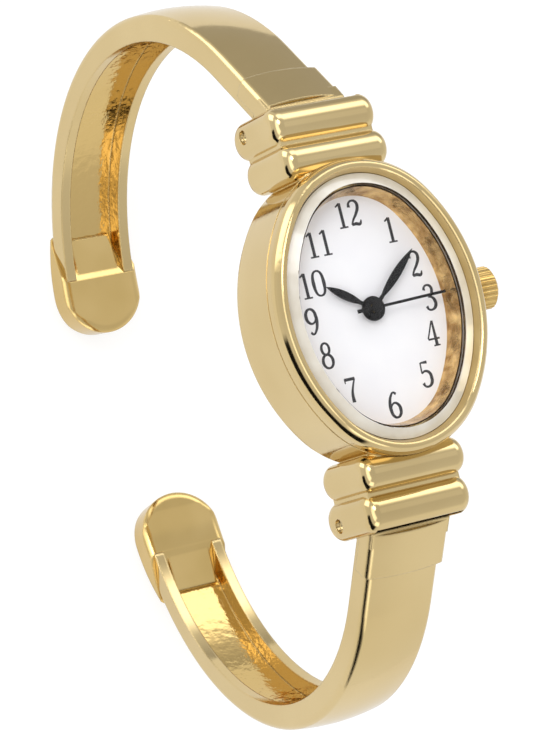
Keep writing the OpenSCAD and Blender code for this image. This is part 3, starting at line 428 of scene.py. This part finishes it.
# %% The strokes of each digit, on a height of one: x, y, half width
DIGIT_MIDDLE = 0.28
DIGITS = {
    "0": [[(.28, .98, .025), (.50, .5, .06), (.28, .02, .025), (.06, .5, .06), "closed"]],
    "1": [[(.30, .97, .05), (.30, .04, .05)], [(.30, .96, .03), (.12, .84, .02)],
          [(.12, .02, .02), (.48, .02, .02)]],
    "2": [[(.10, .74, .055), (.13, .90, .03), (.28, .98, .028), (.44, .90, .045), (.47, .72, .055),
           (.36, .48, .045), (.16, .22, .03), (.08, .06, .028)],
          [(.08, .05, .03), (.25, .08, .05), (.42, .05, .045), (.50, .20, .015)]],
    "3": [[(.10, .80, .05), (.15, .93, .03), (.28, .98, .028), (.42, .90, .045), (.43, .70, .05),
           (.33, .56, .03), (.22, .53, .022)],
          [(.22, .53, .022), (.36, .50, .035), (.47, .36, .055), (.46, .14, .055), (.30, .02, .03),
           (.14, .05, .03), (.08, .18, .05)]],
    "4": [[(.36, .98, .02), (.05, .30, .02)], [(.05, .28, .025), (.55, .28, .025)],
          [(.38, .98, .03), (.38, .02, .055)], [(.24, .02, .018), (.52, .02, .018)]],
    "5": [[(.14, .96, .02), (.42, .95, .045)], [(.13, .97, .02), (.11, .55, .02)],
          [(.11, .55, .02), (.25, .62, .03), (.42, .55, .045), (.48, .34, .055), (.43, .12, .05),
           (.28, .02, .03), (.13, .06, .03), (.08, .18, .05)]],
    "6": [[(.42, .90, .04), (.32, .98, .025), (.20, .88, .035), (.09, .62, .05), (.07, .34, .055),
           (.14, .09, .045), (.28, .02, .03), (.42, .10, .045), (.48, .31, .055), (.42, .50, .045),
           (.28, .58, .028), (.14, .50, .025), (.08, .36, .03)]],
    "7": [[(.06, .93, .045), (.50, .93, .045)], [(.06, .97, .012), (.07, .78, .012)],
          [(.49, .93, .02), (.34, .60, .03), (.27, .35, .045), (.26, .04, .06)]],
    "8": [[(.28, .98, .028), (.44, .78, .04), (.28, .54, .035), (.12, .78, .045), "closed"],
          [(.28, .54, .035), (.49, .28, .05), (.28, .02, .028), (.07, .27, .05), "closed"]],
}
DIGITS["9"] = [[(2 * DIGIT_MIDDLE - x, 1 - y, w) for x, y, w in DIGITS["6"][0]]]
print(len(DIGITS), "digits drawn")

# %% [markdown]
# ### Placing the numerals
# Each numeral stands upright round the middle of the dial. Ink spreads as it is printed, so
# every stroke comes out a little wider than it was drawn. All strokes go into one curve with
# a round section. It is turned into a mesh and pressed almost flat, and it lies on the dial.

# %% Place the numerals round the dial, in mm
DIGIT_HEIGHT, DIGIT_PITCH = 2.2, 1.28
INK_SPREAD, INK_MARGIN = 1.1, 0.01
INK_FLATNESS, INK_LIFT = 0.05, 0.004
NUMERALS = {
    "12": (0, 8.2), "1": (3.59, 6.25), "2": (5.10, 3.01), "3": (5.69, 0), "4": (5.10, -3.01),
    "5": (3.59, -6.25), "6": (0, -8.2), "7": (-3.59, -6.25), "8": (-5.10, -3.01),
    "9": (-5.69, 0), "10": (-4.85, 3.01), "11": (-3.35, 6.25),
}


def add_stroke(curve, stroke, left, low):
    points = [p for p in stroke if p != "closed"]
    spline = curve.splines.new("BEZIER")
    spline.bezier_points.add(len(points) - 1)
    spline.use_cyclic_u = "closed" in stroke
    for place, (x, y, half_width) in zip(spline.bezier_points, points):
        place.co = ((left + x * DIGIT_HEIGHT) * MM, (low + y * DIGIT_HEIGHT) * MM, 0)
        place.radius = (half_width * INK_SPREAD + INK_MARGIN) * DIGIT_HEIGHT
        place.handle_left_type = place.handle_right_type = "AUTO"


strokes = bpy.data.curves.new("numerals", "CURVE")
strokes.dimensions = "3D"
strokes.bevel_depth = MM
strokes.bevel_resolution = 2
strokes.resolution_u = 6
strokes.use_fill_caps = True
for figures, (x, y) in NUMERALS.items():
    for i, figure in enumerate(figures):
        middle = x + (i - (len(figures) - 1) / 2) * DIGIT_PITCH
        left, low = middle - DIGIT_MIDDLE * DIGIT_HEIGHT, y - DIGIT_HEIGHT / 2
        for stroke in DIGITS[figure]:
            add_stroke(strokes, stroke, left, low)
numerals = bpy.data.objects.new("numerals", strokes)
bpy.context.scene.collection.objects.link(numerals)
pick(numerals)
bpy.ops.object.convert(target="MESH")
numerals = bpy.context.object
numerals.scale = (1, 1, INK_FLATNESS)
numerals.location = (0, 0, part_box("dial")[1].z + INK_LIFT * MM)
settle(numerals, "numerals", "case", print_ink)

# %% [markdown]
# ## Second hand's cap
# On the real watch the second hand ends in a small polished cap that hides the end of its
# arbor. It is a low cylinder whose upper rim is bevelled round. The cap is glued on the hub,
# so it turns with the second hand.

# %% Second hand's cap
CAP_RADIUS, CAP_DEPTH, CAP_MIDDLE, CAP_ROUND = 0.46 * MM, 0.16 * MM, 0.06 * MM, 0.08 * MM
FACES_UP = 0.9
SHARPEST_SMOOTH = math.radians(40)

hub_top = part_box("second_hand")[1].z
deselect_all()
bpy.ops.mesh.primitive_cylinder_add(vertices=48, radius=CAP_RADIUS, depth=CAP_DEPTH,
                                    location=(0, 0, hub_top + CAP_MIDDLE))
cap = bpy.context.object
bpy.ops.object.mode_set(mode="EDIT")
bpy.ops.mesh.select_all(action="DESELECT")
bpy.ops.object.mode_set(mode="OBJECT")
for face in cap.data.polygons:
    face.select = face.normal.z > FACES_UP
bpy.ops.object.mode_set(mode="EDIT")
bpy.ops.mesh.bevel(offset=CAP_ROUND, segments=4, affect="EDGES")
bpy.ops.object.mode_set(mode="OBJECT")
bpy.ops.object.shade_smooth_by_angle(angle=SHARPEST_SMOOTH)
settle(cap, "second_hand_cap", "second", glossy_black)

# %% [markdown]
# ## Studio
# Polished gold shows nothing but what surrounds it, so the studio is designed by asking where
# each bright or dark patch of the picture comes from. The world is a soft grey tent, a little
# brighter low down than overhead. Its level depends only on a direction in the room, so it
# stands still however the camera moves.

# %% The tent
TENT_FOOT, LEVEL_LOW, LEVEL_OVERHEAD = -0.3, 0.82, 0.66

world = bpy.data.worlds.new("studio")
bpy.context.scene.world = world
world.use_nodes = True
sky = world.node_tree
sky.nodes.clear()
ray = add_node(sky, "ShaderNodeTexCoord").outputs["Generated"]
height = add_node(sky, "ShaderNodeSeparateXYZ", ray).outputs["Z"]
level_ray = add_node(sky, "ShaderNodeVectorMath", ray, (1, 1, 0), operation="MULTIPLY")
level_ray = add_node(sky, "ShaderNodeVectorMath", level_ray.outputs["Vector"],
                     operation="NORMALIZE").outputs["Vector"]
tent = add_node(sky, "ShaderNodeMapRange", height, From_Min=TENT_FOOT, To_Min=LEVEL_LOW,
                To_Max=LEVEL_OVERHEAD).outputs["Result"]
print("tent: level", LEVEL_LOW, "low down and", LEVEL_OVERHEAD, "overhead")

# %% [markdown]
# ### Cards and flags
# A card is a patch of sky between two heights, round one compass direction, where 0 is the
# dial's 3 o'clock and 90 its 12 o'clock. Its edges are soft, and where it lies it replaces the
# tent's level with its own. Four bright cards draw the white streaks along the bars, the bezel
# and the arms: they stand at 9, at 1, at 6 and low between 10 and 11 o'clock. The dark flag,
# low between 7 and 8 o'clock, draws the black crescents at the bars' ends and the dark band on
# the bezel. The others only lift or lower the tent a little.

# %% Cards and flags: direction, half width, low, high, all in degrees, then softness and level
CARDS = {
    "left_card": (182, 44, 28, 56, 6, 1.9),
    "roof_card": (8, 20, 52, 70, 5, 0.78),
    "right_card": (300, 22, -30, 16, 8, 0.93),
    "back_card": (62, 34, 18, 44, 7, 2.3),
    "hinge_shade": (60, 26, -34, 5, 7, 0.5),
    "dark_flag": (219, 34, -40, 3, 3, 0.01),
    "bezel_card": (131, 11, -26, 10, 4, 2.6),
    "front_card": (256, 14, 8, 32, 4, 2.0),
}


def sine(degrees):
    return math.sin(math.radians(degrees))


def cosine(degrees):
    return math.cos(math.radians(degrees))


def ease(value, low, high):
    """0 below low, 1 above high, and a smooth rise between them."""
    return add_node(sky, "ShaderNodeMapRange", value, interpolation_type="SMOOTHSTEP",
                    From_Min=low, From_Max=high).outputs["Result"]


for name, (direction, half_width, low, high, soft, card_level) in CARDS.items():
    towards = (cosine(direction), sine(direction), 0)
    turned = add_node(sky, "ShaderNodeVectorMath", level_ray, towards,
                      operation="DOT_PRODUCT").outputs["Value"]
    side = ease(turned, cosine(half_width + 2 * soft), cosine(half_width))
    over = ease(height, sine(low - soft), sine(low + soft))
    under = ease(height, sine(high + soft), sine(high - soft))
    patch = maths(sky, "MULTIPLY", maths(sky, "MULTIPLY", side, over), under)
    change = maths(sky, "SUBTRACT", card_level, tent)
    tent = maths(sky, "MULTIPLY_ADD", patch, change, tent)
    print(name, "at", direction, "degrees, level", card_level)

# %% [markdown]
# ### A white backdrop
# The picture has a white background, but a white room would wash out the gold. So only the
# camera's own rays see white. All other rays, which light the watch and mirror in it, see the
# tent and its cards.

# %% Send the tent to all rays but the camera's
dome_light = add_node(sky, "ShaderNodeBackground", Color=tent)
backdrop = add_node(sky, "ShaderNodeBackground", Color=(1, 1, 1, 1))
rays = add_node(sky, "ShaderNodeLightPath").outputs
swap = add_node(sky, "ShaderNodeMixShader", rays["Is Camera Ray"],
                dome_light.outputs["Background"], backdrop.outputs["Background"])
add_node(sky, "ShaderNodeOutputWorld", Surface=swap.outputs["Shader"])
print("world:", len(sky.nodes), "nodes")

# %% [markdown]
# ## Floor
# The watch lies on a pale floor that keeps its soft shadow. The floor's own colour is a dull
# grey, and that is all the light it spreads. A glow makes it look white to the rays that see
# it: the camera's, those that pass through the glass and, a little weaker, the reflections.

# %% Floor
FLOOR_SIZE, FLOOR_GAP = 0.2, 0.2 * MM
FLOOR_GLOW, GLOW_IN_REFLECTIONS = 0.76, 0.82

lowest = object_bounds()[0][2]
deselect_all()
bpy.ops.mesh.primitive_plane_add(size=FLOOR_SIZE, location=(0, 0, lowest - FLOOR_GAP))
floor = bpy.context.object
floor.name = "floor"
floor_finish, shader = start_finish("floor", (0.3, 0.3, 0.3), roughness=0.9)
feed(shader.inputs["Specular IOR Level"], 0.0)
ground = floor_finish.node_tree
rays = add_node(ground, "ShaderNodeLightPath").outputs
reflected = maths(ground, "MULTIPLY", rays["Is Glossy Ray"], GLOW_IN_REFLECTIONS)
seen = maths(ground, "MAXIMUM", rays["Is Camera Ray"], reflected)
seen = maths(ground, "MAXIMUM", seen, rays["Is Transmission Ray"])
glow = add_node(ground, "ShaderNodeEmission", Strength=FLOOR_GLOW)
glowing = add_node(ground, "ShaderNodeAddShader", shader.outputs["BSDF"],
                   glow.outputs["Emission"])
end_finish(floor_finish, add_node(ground, "ShaderNodeMixShader", seen, shader.outputs["BSDF"],
                                  glowing.outputs["Shader"]))
floor.data.materials.append(floor_finish)
print("floor at", round(lowest / MM, 2), "mm")

# %% [markdown]
# ## Key light
# One large soft lamp, high at the upper left, adds the gentle shading that the tent alone is
# too even for. It is weak, because the tent already lights the watch at a plain level.

# %% Key light
KEY_PLACE, KEY_WIDTH, KEY_WATTS = Vector((-0.24, 0.27, 0.48)), 0.24, 0.7

key_data = bpy.data.lights.new("key", "AREA")
key_data.shape = "RECTANGLE"
key_data.size = key_data.size_y = KEY_WIDTH
key_data.energy = KEY_WATTS
key = bpy.data.objects.new("key", key_data)
bpy.context.scene.collection.objects.link(key)
key.location = KEY_PLACE
key.rotation_euler = (-KEY_PLACE).to_track_quat("-Z", "Y").to_euler()
print("key light:", KEY_WATTS, "W")
